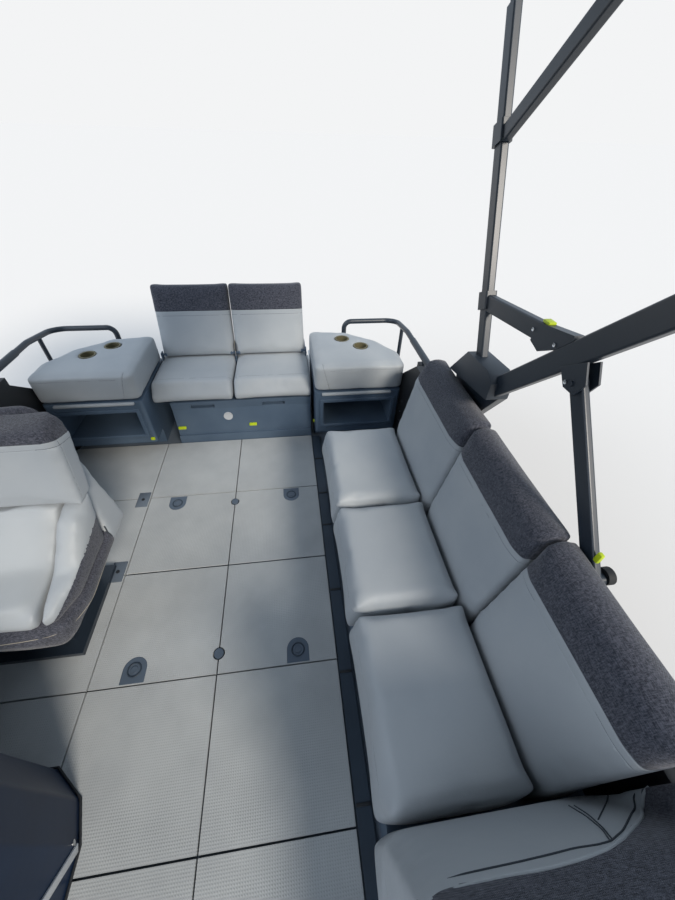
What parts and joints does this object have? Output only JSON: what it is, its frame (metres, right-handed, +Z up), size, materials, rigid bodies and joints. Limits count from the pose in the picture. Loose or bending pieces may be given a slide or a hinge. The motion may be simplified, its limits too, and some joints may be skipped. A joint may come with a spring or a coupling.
{
  "type": "deck boat",
  "caption": "Compact three-hull jet-drive deck boat with a twin stern seat, long port lounge, starboard helm, bow seats and a fixed-open canopy.",
  "frame": {"origin": "under the middle of the boat, level with the keels' flat runners", "axes": "+X forward, +Y to port, +Z up"},
  "size_m": [5.9, 2.44, 2.8038],
  "materials": {
    "hull_plastic": "rotomoulded polyethylene, fine pebble",
    "deck_structure": "extruded and anodised",
    "bumper": "extruded fender",
    "deck_tile": "moulded anti-slip grain, pale warm grey",
    "track_plastic": "moulded, dark blue-grey",
    "latch_plastic": "moulded, slate",
    "engine_paint": "satin",
    "cast_alloy": "cast and tumbled",
    "stainless": "brushed",
    "base_plastic": "moulded, blue-grey",
    "vinyl": "marine vinyl, warm light grey",
    "tweed": "woven charcoal upholstery",
    "cup_plastic": "moulded, olive tan",
    "frame_paint": "satin powder coat, dark slate",
    "panel_black": "textured black sheet",
    "console_plastic": "moulded, navy grey",
    "screen": "tinted clear acrylic",
    "canopy_cloth": "woven acrylic canvas, charcoal",
    "grip": "moulded grip"
  },
  "bodies": {
    "boat": {"centre_hull": "hull_plastic", "port_sponson": "hull_plastic", "starboard_sponson": "hull_plastic", "deck_frame": "deck_structure", "rub_rail": "bumper", "deck_tiles": "deck_tile", "hull_eyes": "stainless", "side_track": "track_plastic", "engine_block": "engine_paint", "jet_pump": "cast_alloy", "intake_grate": "stainless", "stern_seat_base": "base_plastic", "stern_cushions": "vinyl", "corner_bases": "base_plastic", "corner_pads": "vinyl", "cup_liners": "cup_plastic", "lounge_base": "base_plastic", "lounge_cushions": "vinyl", "lounge_backs": "vinyl", "end_back": "vinyl", "helm_pedestal": "frame_paint", "helm_console": "console_plastic", "windscreen": "screen", "bow_seat_bases": "base_plastic", "bow_cushions": "vinyl", "bow_backs": "vinyl", "side_panels": "panel_black", "side_rails": "frame_paint", "stern_rails": "frame_paint", "canopy_brackets": "frame_paint", "canopy_beams": "frame_paint", "canopy_posts": "frame_paint", "canopy_braces": "frame_paint", "canopy_struts": "frame_paint", "hatch_knobs": "latch_plastic", "cleats": "stainless", "helm_controls": "grip", "canopy": "canopy_cloth", "ladder_hinge": "stainless"},
    "impeller": {"impeller": "stainless"},
    "nozzle": {"steering_nozzle": "cast_alloy"},
    "bucket": {"reverse_bucket": "cast_alloy"},
    "steering": {"handlebar": "grip"},
    "ladder": {"boarding_ladder": "stainless"},
    "gate": {"bow_gate": "panel_black"},
    "helm_seat": {"helm_seat_shell": "tweed", "helm_seat_pads": "vinyl"},
    "hatch_aft_port": {"hatch_lid_aft_port": "deck_tile", "hatch_latch_aft_port": "latch_plastic"},
    "hatch_aft_starboard": {"hatch_lid_aft_starboard": "deck_tile", "hatch_latch_aft_starboard": "latch_plastic"},
    "hatch_fore_port": {"hatch_lid_fore_port": "deck_tile", "hatch_latch_fore_port": "latch_plastic"},
    "hatch_fore_starboard": {"hatch_lid_fore_starboard": "deck_tile", "hatch_latch_fore_starboard": "latch_plastic"},
    "stern_back_port": {"stern_back_pad_port": "vinyl", "stern_back_shell_port": "base_plastic"},
    "stern_back_starboard": {"stern_back_pad_starboard": "vinyl", "stern_back_shell_starboard": "base_plastic"}
  },
  "joints": [
    {"name": "helm_turn", "type": "hinge", "parent": "boat", "child": "steering", "pos_m": [0.2116, -0.745, 1.2952], "axis": [-0.7182, 0, 0.6958], "range_deg": [-40, 40]},
    {"name": "nozzle_turn", "type": "hinge", "parent": "boat", "child": "nozzle", "pos_m": [-2.71, 0, 0.215], "axis": [0, 0, 1], "range_deg": [-22, 22]},
    {"name": "bucket_drop", "type": "hinge", "parent": "nozzle", "child": "bucket", "pos_m": [-2.72, 0, 0.215], "axis": [0, -1, 0], "range_deg": [0, 65]},
    {"name": "impeller_spin", "type": "hinge", "parent": "boat", "child": "impeller", "pos_m": [-2.4, 0, 0.215], "axis": [1, 0, 0], "continuous": true},
    {"name": "ladder_swing", "type": "hinge", "parent": "boat", "child": "ladder", "pos_m": [-2.925, 0.74, 0.6423], "axis": [0, -1, 0], "range_deg": [0, 265]},
    {"name": "gate_swing", "type": "hinge", "parent": "boat", "child": "gate", "pos_m": [2.88, 0.346, 1], "axis": [0, 0, -1], "range_deg": [0, 95]},
    {"name": "helm_seat_slide", "type": "slide", "parent": "boat", "child": "helm_seat", "axis": [1, 0, 0], "range_m": [-0.06, 0.09]},
    {"name": "hatch_aft_port_lift", "type": "hinge", "parent": "boat", "child": "hatch_aft_port", "pos_m": [-0.656, 0.25, 0.617], "axis": [0, 1, 0], "range_deg": [0, 80]},
    {"name": "hatch_aft_starboard_lift", "type": "hinge", "parent": "boat", "child": "hatch_aft_starboard", "pos_m": [-0.656, -0.25, 0.617], "axis": [0, 1, 0], "range_deg": [0, 45]},
    {"name": "hatch_fore_port_lift", "type": "hinge", "parent": "boat", "child": "hatch_fore_port", "pos_m": [-0.644, 0.25, 0.617], "axis": [0, -1, 0], "range_deg": [0, 80]},
    {"name": "hatch_fore_starboard_lift", "type": "hinge", "parent": "boat", "child": "hatch_fore_starboard", "pos_m": [-0.644, -0.25, 0.617], "axis": [0, -1, 0], "range_deg": [0, 25]},
    {"name": "stern_back_port_fold", "type": "hinge", "parent": "boat", "child": "stern_back_port", "pos_m": [-2.05, 0.25, 1.095], "axis": [0, 1, 0], "range_deg": [0, 104]},
    {"name": "stern_back_starboard_fold", "type": "hinge", "parent": "boat", "child": "stern_back_starboard", "pos_m": [-2.05, -0.25, 1.095], "axis": [0, 1, 0], "range_deg": [0, 104]}
  ],
  "couplings": [
    {"joint": "nozzle_turn", "follows": "helm_turn", "ratio": -0.55}
  ]
}
